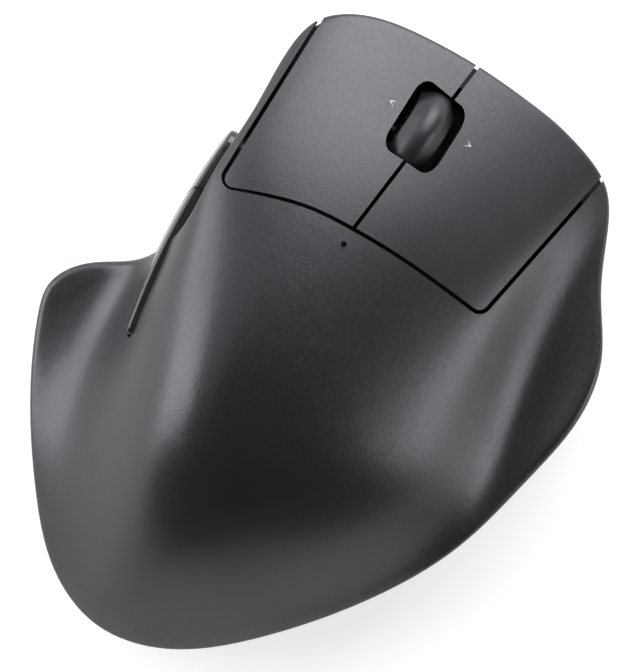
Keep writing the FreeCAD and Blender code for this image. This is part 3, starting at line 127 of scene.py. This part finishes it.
def moulded(name, colours, rough, grain, depth, ior=1.53, handled=28.0, worn=None):
    """A moulded plastic: its colour drifts, the tool's texture stands in it, and hands have rubbed it.

    colours and rough each hold the two values that it drifts between. grain is the texture's spacing, depth
    its height and handled the rubbed places' spacing, all in millimetres. worn is the spot that a hand has
    polished most, with how far round it that reaches.
    """
    material, tree, place = blank(name)
    drift = add(tree, "ShaderNodeTexNoise", {"Vector": place, "Scale": per(handled), "Detail": 3.0,
                                             "Roughness": 0.55})["Fac"]
    colour = add(tree, "ShaderNodeMix", {0: drift, 6: srgb(colours[0]), 7: srgb(colours[1])},
                 data_type="RGBA")[2]
    texture = add(tree, "ShaderNodeTexNoise", {"Vector": place, "Scale": per(grain), "Detail": 2.0,
                                               "Roughness": 0.6})["Fac"]
    drawn_out = add(tree, "ShaderNodeMapping", {"Vector": place, "Rotation": (0.0, 0.0, SCRATCH_TURN),
                                                "Scale": (1.0, SCRATCH_SHRINK, 1.0)})["Vector"]
    hairlines = add(tree, "ShaderNodeTexNoise", {"Vector": drawn_out, "Scale": per(SCRATCH_PITCH),
                                                 "Detail": 1.0, "Roughness": 0.4})["Fac"]
    rubbed = add(tree, "ShaderNodeMapRange", {"Value": drift, **NOISE_SPAN, "To Min": rough[0],
                                              "To Max": rough[1]})["Result"]
    specks = add(tree, "ShaderNodeMapRange", {"Value": texture, **NOISE_SPAN, "To Min": -GRAIN_ROUGHNESS,
                                              "To Max": GRAIN_ROUGHNESS})["Result"]
    scuffs = add(tree, "ShaderNodeMapRange", {"Value": hairlines, **SCRATCH_SPAN, "To Min": 0.0,
                                              "To Max": SCRATCH_ROUGHNESS})["Result"]
    roughness = add(tree, "ShaderNodeMath", {0: rubbed, 1: specks}, operation="ADD")[0]
    roughness = add(tree, "ShaderNodeMath", {0: roughness, 1: scuffs}, operation="ADD")[0]
    if worn:
        spot, reach = worn
        near = add(tree, "ShaderNodeMapping", {"Vector": place, "Location": [c * MM for c in spot],
                                               "Scale": (reach * MM, reach * MM, reach * MM)},
                   vector_type="TEXTURE")["Vector"]
        hand = add(tree, "ShaderNodeTexGradient", {"Vector": near}, gradient_type="SPHERICAL")["Fac"]
        polish = add(tree, "ShaderNodeMath", {0: hand, 1: POLISH}, operation="MULTIPLY")[0]
        roughness = add(tree, "ShaderNodeMath", {0: roughness, 1: polish}, operation="SUBTRACT")[0]
    bump = add(tree, "ShaderNodeBump", {"Height": texture, "Strength": 0.35,
                                        "Distance": depth * MM})["Normal"]
    surface(tree, {"Base Color": colour, "Roughness": roughness, "IOR": ior, "Normal": bump})
    return material


def printed_sleeve():
    """PVC sleeve shrunk on a steel cell: glossy, dark, a little scuffed, with a pale band at one end."""
    material, tree, place = blank("pvc_sleeve_printed")
    band_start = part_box("battery")[1].y - 9.0 * MM
    along = add(tree, "ShaderNodeSeparateXYZ", {"Vector": place})["Y"]
    band = add(tree, "ShaderNodeMath", {0: along, 1: band_start}, operation="GREATER_THAN")[0]
    colour = add(tree, "ShaderNodeMix", {0: band, 6: srgb("#23272d"), 7: srgb("#b9b6ae")},
                 data_type="RGBA")[2]
    scuffs = add(tree, "ShaderNodeTexNoise", {"Vector": place, "Scale": per(4.0), "Detail": 4.0})["Fac"]
    roughness = add(tree, "ShaderNodeMapRange", {"Value": scuffs, **NOISE_SPAN, "To Min": 0.18,
                                                 "To Max": 0.32})["Result"]
    bump = add(tree, "ShaderNodeBump", {"Height": scuffs, "Strength": 0.15,
                                        "Distance": 0.02 * MM})["Normal"]
    surface(tree, {"Base Color": colour, "Roughness": roughness, "IOR": 1.54, "Coat Weight": 0.4,
                   "Coat Roughness": 0.12, "Normal": bump})
    return material


def masked_laminate():
    """FR-4 glass laminate under green solder mask: glossy lacquer over copper tracks, which show paler."""
    material, tree, place = blank("fr4_solder_mask")
    tracks = add(tree, "ShaderNodeTexBrick", {"Vector": place, "Scale": per(9.0), "Mortar Size": 0.03,
                                              "Mortar Smooth": 0.1, "Bias": 0.0, "Brick Width": 0.5,
                                              "Row Height": 0.14})["Fac"]
    colour = add(tree, "ShaderNodeMix", {0: tracks, 6: srgb("#0d3d22"), 7: srgb("#1a5c36")},
                 data_type="RGBA")[2]
    weave = add(tree, "ShaderNodeTexNoise", {"Vector": place, "Scale": per(0.5), "Detail": 2.0})["Fac"]
    roughness = add(tree, "ShaderNodeMapRange", {"Value": weave, **NOISE_SPAN, "To Min": 0.2,
                                                 "To Max": 0.34})["Result"]
    bump = add(tree, "ShaderNodeBump", {"Height": tracks, "Strength": 0.3, "Distance": 0.03 * MM})["Normal"]
    surface(tree, {"Base Color": colour, "Roughness": roughness, "IOR": 1.52, "Normal": bump})
    return material


def plated(name, colours, rough, grain):
    """Plated steel: a metal whose plating is a little cloudy, with clouds this many millimetres apart."""
    material, tree, place = blank(name)
    cloud = add(tree, "ShaderNodeTexNoise", {"Vector": place, "Scale": per(grain), "Detail": 4.0})["Fac"]
    colour = add(tree, "ShaderNodeMix", {0: cloud, 6: srgb(colours[0]), 7: srgb(colours[1])},
                 data_type="RGBA")[2]
    roughness = add(tree, "ShaderNodeMapRange", {"Value": cloud, **NOISE_SPAN, "To Min": rough[0],
                                                 "To Max": rough[1]})["Result"]
    bump = add(tree, "ShaderNodeBump", {"Height": cloud, "Strength": 0.1, "Distance": 0.01 * MM})["Normal"]
    surface(tree, {"Base Color": colour, "Metallic": 1.0, "Roughness": roughness, "Normal": bump})
    return material


def clear(name, tint, rough):
    """Polished acrylic: clear, with faint flow lines from the mould that soften it here and there."""
    material, tree, place = blank(name)
    flow = add(tree, "ShaderNodeTexNoise", {"Vector": place, "Scale": per(3.0), "Detail": 2.0})["Fac"]
    roughness = add(tree, "ShaderNodeMapRange", {"Value": flow, **NOISE_SPAN, "To Min": rough[0],
                                                 "To Max": rough[1]})["Result"]
    surface(tree, {"Base Color": srgb(tint), "Roughness": roughness, "IOR": 1.49,
                   "Transmission Weight": 1.0})
    return material


def printed_ink():
    """Pad-printed ink: an even mid-grey film, satin, a touch thinner where the pad lifted."""
    material, tree, place = blank("pad_printed_ink")
    film = add(tree, "ShaderNodeTexNoise", {"Vector": place, "Scale": per(0.35), "Detail": 2.0})["Fac"]
    colour = add(tree, "ShaderNodeMix", {0: film, 6: srgb("#8b8d8f"), 7: srgb("#a8aaac")},
                 data_type="RGBA")[2]
    roughness = add(tree, "ShaderNodeMapRange", {"Value": film, **NOISE_SPAN, "To Min": 0.4,
                                                 "To Max": 0.52})["Result"]
    surface(tree, {"Base Color": colour, "Roughness": roughness, "IOR": 1.5})
    return material


# Satin ABS, moulded on a finely spark-eroded tool: charcoal, with a broad soft sheen, smoother where the
# palm rests. The real texture is about 0.15 mm; it is drawn at 0.45 mm, as coarse as it needs to be to
# show. The textures of the other moulded pieces are drawn coarser than real ones too.
shell_abs = moulded("satin_abs_charcoal", ("#121315", "#191a1c"), rough=(0.34, 0.4), grain=0.45, depth=0.06,
                    worn=((-4, -12, 44), 38))
# The same ABS from a smoother tool on the thumb buttons: a tighter sheen.
thumb_abs = moulded("semigloss_abs_black", ("#111214", "#17181a"), rough=(0.22, 0.28), grain=0.5,
                    depth=0.01)
# The lower case, moulded rough: nearly matt black.
base_abs = moulded("textured_abs_black", ("#131416", "#1a1b1d"), rough=(0.52, 0.62), grain=0.6, depth=0.05)
# The tyre: moulded rubber, satin with a faint bloom.
tyre_rubber = moulded("moulded_rubber_dark", ("#131416", "#1a1b1d"), rough=(0.34, 0.42), grain=0.4,
                      depth=0.03, ior=1.46, handled=9.0)
# Glides of slippery filled fluoroplastic: dark, waxy and soon polished.
glide_plastic = moulded("filled_ptfe_glide", ("#101112", "#191a1b"), rough=(0.3, 0.42), grain=0.9,
                        depth=0.01, ior=1.38, handled=8.0)
# Acetal running parts and switch housings: dense black with a waxy gloss.
inner_acetal = moulded("acetal_black", ("#101112", "#161718"), rough=(0.34, 0.46), grain=0.5, depth=0.015,
                       ior=1.48, handled=12.0)
# Acetal in its natural white on the plungers: milky and smooth.
plunger_acetal = moulded("acetal_natural_white", ("#cfccc2", "#dedbd2"), rough=(0.3, 0.4), grain=0.4,
                         depth=0.01, ior=1.48, handled=5.0)
# Epoxy that seals the chips: matt, finely pitted.
chip_epoxy = moulded("moulded_epoxy_chip", ("#121213", "#1a1a1b"), rough=(0.45, 0.6), grain=0.3, depth=0.03,
                     ior=1.55, handled=6.0)
# The lamp's tinted lens: glossy cast epoxy.
lamp_epoxy = moulded("cast_epoxy_amber", ("#b9561e", "#cf6a28"), rough=(0.12, 0.2), grain=0.6, depth=0.005,
                     ior=1.55, handled=2.0)
# The label's polyester film, left bare: satin, a little paler than the case.
label_film = moulded("polyester_film_bare", ("#26272a", "#2d2e31"), rough=(0.3, 0.36), grain=0.8,
                     depth=0.004, ior=1.6, handled=10.0)
# The marks beside the wheel: printed ink, pale against the dark plastic.
mark_ink = printed_ink()
# The cell's sleeve: glossy print over steel.
sleeve = printed_sleeve()
# The boards: green lacquer over copper tracks.
laminate = masked_laminate()
# Nickel on the battery's spring leaves: warm and bright.
nickel = plated("nickel_plated_spring_steel", ("#b3ab9b", "#c9c2b3"), rough=(0.22, 0.34), grain=2.5)
# Zinc on the screws: cool, a little dull.
zinc = plated("zinc_plated_steel", ("#92989e", "#aeb3b8"), rough=(0.32, 0.44), grain=1.2)
# The sensor's lens: water clear.
acrylic = clear("polished_acrylic_clear", "#eef3f6", rough=(0.03, 0.11))
# The indicator's guide: smoked, so that it shows as a black dot until it is lit.
smoked = clear("smoked_acrylic", "#3a3c40", rough=(0.06, 0.14))

WEARS = {
    shell_abs: ["top_shell", "left_button", "right_button"],
    thumb_abs: ["forward_button", "back_button"],
    base_abs: ["base_case", "battery_door"],
    tyre_rubber: ["wheel_tyre"],
    glide_plastic: ["front_foot", "rear_foot", "left_foot", "right_foot"],
    inner_acetal: ["wheel_hub", "wheel_fork", "wheel_cradle", "left_switch", "right_switch",
                   "middle_switch", "power_switch", "power_knob", "pairing_button"],
    plunger_acetal: ["left_plunger", "right_plunger", "middle_plunger", "forward_plunger", "back_plunger"],
    laminate: ["main_board", "side_board"],
    chip_epoxy: ["sensor_chip", "radio_chip", "board_components", "light_emitter", "light_detector",
                 "pairing_switch", "forward_switch", "back_switch"],
    acrylic: ["sensor_lens"],
    smoked: ["light_guide"],
    lamp_epoxy: ["indicator_lamp"],
    sleeve: ["battery"],
    nickel: ["front_contact", "rear_contact"],
    zinc: ["case_screws", "board_screws", "button_screws", "side_board_screws"],
    label_film: ["rating_label"],
}
for material, names in WEARS.items():
    for name in names:
        mesh = nodes[name].data
        mesh.materials.clear()
        mesh.materials.append(material)

# Corners closer than this are one corner, and an edge that bends by more than the crease stays sharp.
WELD = 0.002 * MM
CREASE = math.radians(35)
# How wide each piece's sharp edges are eased, in millimetres. 0 leaves them as they are.
EDGE_WIDTHS = {"top_shell": 0.26, "left_button": 0.26, "right_button": 0.26, "forward_button": 0.15,
               "back_button": 0.15, "base_case": 0.0, "battery_door": 0.0, "wheel_tyre": 0.0}


def merged_copy(name, edge_width):
    """A node's mesh with its loose triangles joined, smooth at gentle bends and eased at sharp edges."""
    mesh = nodes[name].data.copy()
    mesh.name = name + "_skin"
    shape = bmesh.new()
    shape.from_mesh(mesh)
    bmesh.ops.remove_doubles(shape, verts=shape.verts, dist=WELD)
    for face in shape.faces:
        face.smooth = True
    for edge in shape.edges:
        edge.smooth = len(edge.link_faces) == 2 and edge.calc_face_angle(0) < CREASE
    shape.to_mesh(mesh)
    shape.free()
    piece = put(name + "_skin", mesh)
    if edge_width:
        easing = piece.modifiers.new("eased_edges", "BEVEL")
        easing.width = edge_width * MM
        easing.segments = 3
        easing.limit_method = "ANGLE"
        easing.angle_limit = CREASE
        easing.use_clamp_overlap = True
        easing.harden_normals = True
    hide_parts(name)
    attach(piece, nodes[name]["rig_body"])
    return piece


for name, edge_width in EDGE_WIDTHS.items():
    merged_copy(name, edge_width)

# The lens stops a hair short of the chip's face, so that the chip shows through it cleanly.
LENS_GAP = 0.03 * MM
SAME_LEVEL = 0.01 * MM
lens = merged_copy("sensor_lens", 0.0)
lens_top = max(vertex.co.z for vertex in lens.data.vertices)
for vertex in lens.data.vertices:
    if vertex.co.z > lens_top - SAME_LEVEL:
        vertex.co.z -= LENS_GAP

# A mark beside the wheel, in millimetres: its length from its point to its two ends, half its width, how
# far its notch lies behind its point, and how far it stands out of the skin and reaches down into it.
MARK_LONG, MARK_HALF, MARK_NOTCH = 1.2, 0.65, 0.5
MARK_PROUD, MARK_SUNK = 0.02, 0.06
# It is made of this many strips, and each corner's height is found by looking down on the skin from above.
MARK_ROWS = 8
OVERHEAD = 100 * MM
# Corners of a mark that lie closer than this are one corner.
MARK_WELD = 0.0005 * MM


def tilt_mark(name, button, tip, way):
    """A small printed arrowhead on a main button, beside the wheel. It follows the skin and points aside.

    tip is its point in millimetres, and way is -1 where it points to the left and 1 to the right.
    """
    skin = BVHTree.FromPolygons([vertex.co for vertex in nodes[button].data.vertices],
                                [face.vertices for face in nodes[button].data.polygons])
    shape = bmesh.new()
    layers = []
    for rise in (MARK_PROUD, -MARK_SUNK):
        points = []
        for row in range(MARK_ROWS + 1):
            across = MARK_HALF * (2 * row / MARK_ROWS - 1)
            share = abs(across) / MARK_HALF
            for back in (share * MARK_LONG, MARK_NOTCH + share * (MARK_LONG - MARK_NOTCH)):
                x, y = (tip[0] - way * back) * MM, (tip[1] + across) * MM
                level = skin.ray_cast(Vector((x, y, OVERHEAD)), Vector((0, 0, -1)))[0].z
                points.append(shape.verts.new((x, y, level + rise * MM)))
        layers.append(points)
    top, under = layers
    for row in range(MARK_ROWS):
        a, b, c, d = 2 * row, 2 * row + 1, 2 * row + 3, 2 * row + 2
        shape.faces.new((top[a], top[b], top[c], top[d]))
        shape.faces.new((under[d], under[c], under[b], under[a]))
        shape.faces.new((top[a], top[d], under[d], under[a]))
        shape.faces.new((top[c], top[b], under[b], under[c]))
    for end in (0, 2 * MARK_ROWS):
        shape.faces.new((top[end + 1], top[end], under[end], under[end + 1]))
    bmesh.ops.remove_doubles(shape, verts=shape.verts, dist=MARK_WELD)
    bmesh.ops.recalc_face_normals(shape, faces=shape.faces)
    mesh = bpy.data.meshes.new(name)
    shape.to_mesh(mesh)
    shape.free()
    mesh.materials.append(mark_ink)
    piece = put(name, mesh)
    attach(piece, nodes[button]["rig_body"])


# Their points lie where the photo shows them.
tilt_mark("left_tilt_mark", "left_button", tip=(-15.3, 42.4), way=-1)
tilt_mark("right_tilt_mark", "right_button", tip=(0.2, 44.5), way=1)


def grip_ribs(name, node, first, count, pitch, length, radius, material):
    """Half-round ribs in a row across a node's underside, grown by a node tree from one rib's section.

    first is the middle of the first rib, and its height is that of the surface the ribs stand on. It is in
    millimetres, as pitch, length and radius are.
    """
    tree = bpy.data.node_groups.new(name + "_tree", "GeometryNodeTree")
    sizes = {}
    for label, kind in (("Ribs", "NodeSocketInt"), ("Pitch", "NodeSocketFloat"),
                        ("Length", "NodeSocketFloat"), ("Radius", "NodeSocketFloat"),
                        ("First", "NodeSocketVector")):
        sizes[label] = tree.interface.new_socket(label, in_out="INPUT", socket_type=kind).identifier
    tree.interface.new_socket("Ribs", in_out="OUTPUT", socket_type="NodeSocketGeometry")
    given = add(tree, "NodeGroupInput")

    half = add(tree, "ShaderNodeMath", {0: given["Length"], 1: 0.5}, operation="MULTIPLY")[0]
    back = add(tree, "ShaderNodeMath", {0: half, 1: -1.0}, operation="MULTIPLY")[0]
    left = add(tree, "ShaderNodeCombineXYZ", {"X": back})[0]
    right = add(tree, "ShaderNodeCombineXYZ", {"X": half})[0]
    line = add(tree, "GeometryNodeCurvePrimitiveLine", {"Start": left, "End": right})["Curve"]
    divided = add(tree, "GeometryNodeResampleCurve", {"Curve": line, "Count": 13})["Curve"]
    # A rib's thickness is a sine raised to a small power: full most of the way, round at the ends. It never
    # falls to nothing, so that the ends have a face.
    rounding, least = 0.3, 0.02
    along = add(tree, "GeometryNodeSplineParameter")["Factor"]
    swing = add(tree, "ShaderNodeMath", {0: along, 1: math.pi}, operation="MULTIPLY")[0]
    swell = add(tree, "ShaderNodeMath", {0: swing}, operation="SINE")[0]
    swell = add(tree, "ShaderNodeMath", {0: swell, 1: rounding}, operation="POWER")[0]
    swell = add(tree, "ShaderNodeMath", {0: swell, 1: least}, operation="MAXIMUM")[0]
    section = add(tree, "GeometryNodeCurvePrimitiveCircle", {"Resolution": 12, "Radius": given["Radius"]})
    rib = add(tree, "GeometryNodeCurveToMesh", {"Curve": divided, "Profile Curve": section["Curve"],
                                                "Scale": swell, "Fill Caps": True})["Mesh"]

    step = add(tree, "ShaderNodeCombineXYZ", {"Y": given["Pitch"]})[0]
    row = add(tree, "GeometryNodeMeshLine", {"Count": given["Ribs"], "Start Location": given["First"],
                                             "Offset": step}, mode="OFFSET")["Mesh"]
    ribs = add(tree, "GeometryNodeInstanceOnPoints", {"Points": row, "Instance": rib})["Instances"]
    solid = add(tree, "GeometryNodeRealizeInstances", {"Geometry": ribs})["Geometry"]
    smooth = add(tree, "GeometryNodeSetShadeSmooth", {"Geometry": solid})["Geometry"]
    dressed = add(tree, "GeometryNodeSetMaterial", {"Geometry": smooth, "Material": material})["Geometry"]
    add(tree, "NodeGroupOutput", {0: dressed})

    seed = put(name + "_seed", bpy.data.meshes.new(name + "_seed"))
    grow = seed.modifiers.new("ribs", "NODES")
    grow.node_group = tree
    values = {"Ribs": count, "Pitch": pitch * MM, "Length": length * MM, "Radius": radius * MM,
              "First": [c * MM for c in first]}
    for label, value in values.items():
        grow[sizes[label]] = value
    bpy.context.view_layer.update()
    mesh = bpy.data.meshes.new_from_object(seed.evaluated_get(bpy.context.evaluated_depsgraph_get()))
    mesh.name = name
    piece = put(name, mesh)
    bpy.data.objects.remove(seed)
    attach(piece, nodes[node]["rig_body"])


# Ribs for the fingertip that pushes the battery door, across its underside just ahead of its grip hollow.
# The first one lies this far from the door's rear edge, in millimetres.
RIBS_FROM_EDGE = 10.0
door_low, door_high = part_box("battery_door")
first_rib = ((door_low.x + door_high.x) / 2 / MM, door_low.y / MM + RIBS_FROM_EDGE, door_low.z / MM)
grip_ribs("door_ribs", "battery_door", first_rib, count=6, pitch=1.3, length=11.0, radius=0.22,
          material=base_abs)

# The floor is a pale sheet, three metres across, that lies a hair under the feet.
FLOOR_HALF = 1500 * MM
FLOOR_DROP = 0.03 * MM
# With its glow and the lamps' light together, the sheet reads as white and keeps the object's soft shadow.
FLOOR_GLOW = 0.72


def paper_floor():
    """White paper: matt. Seen straight, mirrored or through a clear piece, it glows a little as well."""
    material = bpy.data.materials.new("white_paper_floor")
    material.use_nodes = True
    tree = material.node_tree
    tree.nodes.clear()
    rays = add(tree, "ShaderNodeLightPath")
    seen = add(tree, "ShaderNodeMath", {0: rays["Is Camera Ray"], 1: rays["Is Glossy Ray"]},
               operation="MAXIMUM")[0]
    seen = add(tree, "ShaderNodeMath", {0: seen, 1: rays["Is Transmission Ray"]}, operation="MAXIMUM")[0]
    matt = add(tree, "ShaderNodeBsdfDiffuse", {"Color": srgb("#b4b4b4")})
    glow = add(tree, "ShaderNodeEmission", {"Color": srgb("#ffffff"), "Strength": FLOOR_GLOW})
    both = add(tree, "ShaderNodeAddShader", {0: matt[0], 1: glow[0]})
    plain = add(tree, "ShaderNodeBsdfDiffuse", {"Color": srgb("#e0e0e0")})
    mixed = add(tree, "ShaderNodeMixShader", {0: seen, 1: plain[0], 2: both[0]})
    add(tree, "ShaderNodeOutputMaterial", {"Surface": mixed[0]})
    return material


floor_mesh = bpy.data.meshes.new("pale_floor")
corners = [(x * FLOOR_HALF, y * FLOOR_HALF, -FLOOR_DROP) for x, y in ((-1, -1), (1, -1), (1, 1), (-1, 1))]
floor_mesh.from_pydata(corners, [], [(0, 1, 2, 3)])
floor_mesh.materials.append(paper_floor())
floor = put("pale_floor", floor_mesh)

# The lamps stand round a point in the mouse, this far from it, in millimetres. Their light is a trace
# cooler than white, as the photo's highlights are.
LAMPS_ROUND = Vector((0, 0, 20))
LAMPS_AWAY = 950
LAMP_COLOUR = "#f7f9ff"

# bearing is a lamp's direction round the mouse in degrees from the right, and rise its height in degrees
# over the floor. wide and high are its face's size in millimetres. power is in watts per square metre.
# A broad lamp stands past the nose and a weaker one at the left and rear. Two faint ones fill the left side
# between and above them, and a narrow one past the right front corner lights the flank. None hangs overhead
# or stands at the right rear, so the palm's crown and that side stay dark.
LAMPS = {
    "front_softbox": {"bearing": 98, "rise": 24, "wide": 740, "high": 760, "power": 24.4},
    "left_softbox": {"bearing": 203, "rise": 21, "wide": 740, "high": 860, "power": 18.0},
    "left_front_fill": {"bearing": 156, "rise": 22, "wide": 600, "high": 700, "power": 9.2},
    "left_high_fill": {"bearing": 175, "rise": 62, "wide": 900, "high": 520, "power": 2.4},
    "right_flank_strip": {"bearing": 23, "rise": 14, "wide": 340, "high": 420, "power": 19.2},
}


def softbox(name, bearing, rise, wide, high, power):
    """A large soft lamp turned to the mouse."""
    lamp = bpy.data.lights.new(name, "AREA")
    lamp.shape = "RECTANGLE"
    lamp.size, lamp.size_y = wide * MM, high * MM
    lamp.energy = power * lamp.size * lamp.size_y
    lamp.color = srgb(LAMP_COLOUR)[:3]
    across, upwards = math.radians(bearing), math.radians(rise)
    heading = Vector((math.cos(upwards) * math.cos(across), math.cos(upwards) * math.sin(across),
                      math.sin(upwards)))
    thing = put(name, lamp)
    thing.location = LAMPS_ROUND * MM + heading * LAMPS_AWAY * MM
    thing.rotation_euler = (-heading).to_track_quat("-Z", "Y").to_euler()


for name, settings in LAMPS.items():
    softbox(name, **settings)

# How brightly a plain white surround lights the mouse. To the camera itself it is white.
SURROUND = 0.16


def plain_studio():
    """The world: a white surround."""
    world = bpy.data.worlds.new("plain_studio")
    world.use_nodes = True
    tree = world.node_tree
    tree.nodes.clear()
    rays = add(tree, "ShaderNodeLightPath")
    sky = add(tree, "ShaderNodeBackground", {"Color": srgb("#ffffff"), "Strength": SURROUND})
    white = add(tree, "ShaderNodeBackground", {"Color": srgb("#ffffff"), "Strength": 1.0})
    mixed = add(tree, "ShaderNodeMixShader", {0: rays["Is Camera Ray"], 1: sky[0], 2: white[0]})
    add(tree, "ShaderNodeOutputWorld", {"Surface": mixed[0]})
    return world


bpy.context.scene.world = plain_studio()

# The camera looks straight down from far off, turned so that the mouse's nose points up and to the right.
# The picture is taller than wide, so its height sets the lens. LOOK is the point at its middle and
# PICTURE_RIGHT the way that it calls right, as seen by the mouse. Distances are in millimetres.
PICTURE_HEIGHT_PX, PX_PER_MM = 672, 6.01
CAMERA_AWAY = 2000.0
LOOK = Vector((-0.75, 4.41, 15.0))
PICTURE_RIGHT = Vector((0.795, 0.607))
eye = bpy.data.cameras.new("overhead")
eye.sensor_width = 36.0
eye.lens = eye.sensor_width * CAMERA_AWAY / (PICTURE_HEIGHT_PX / PX_PER_MM)
eye.clip_start, eye.clip_end = 0.1, 10.0
camera = put("overhead", eye)
camera.location = (LOOK + Vector((0, 0, CAMERA_AWAY))) * MM
camera.rotation_euler.z = math.atan2(PICTURE_RIGHT.y, PICTURE_RIGHT.x)
bpy.context.scene.camera = camera
bpy.context.scene.view_settings.view_transform = "Standard"

bpy.context.view_layer.update()
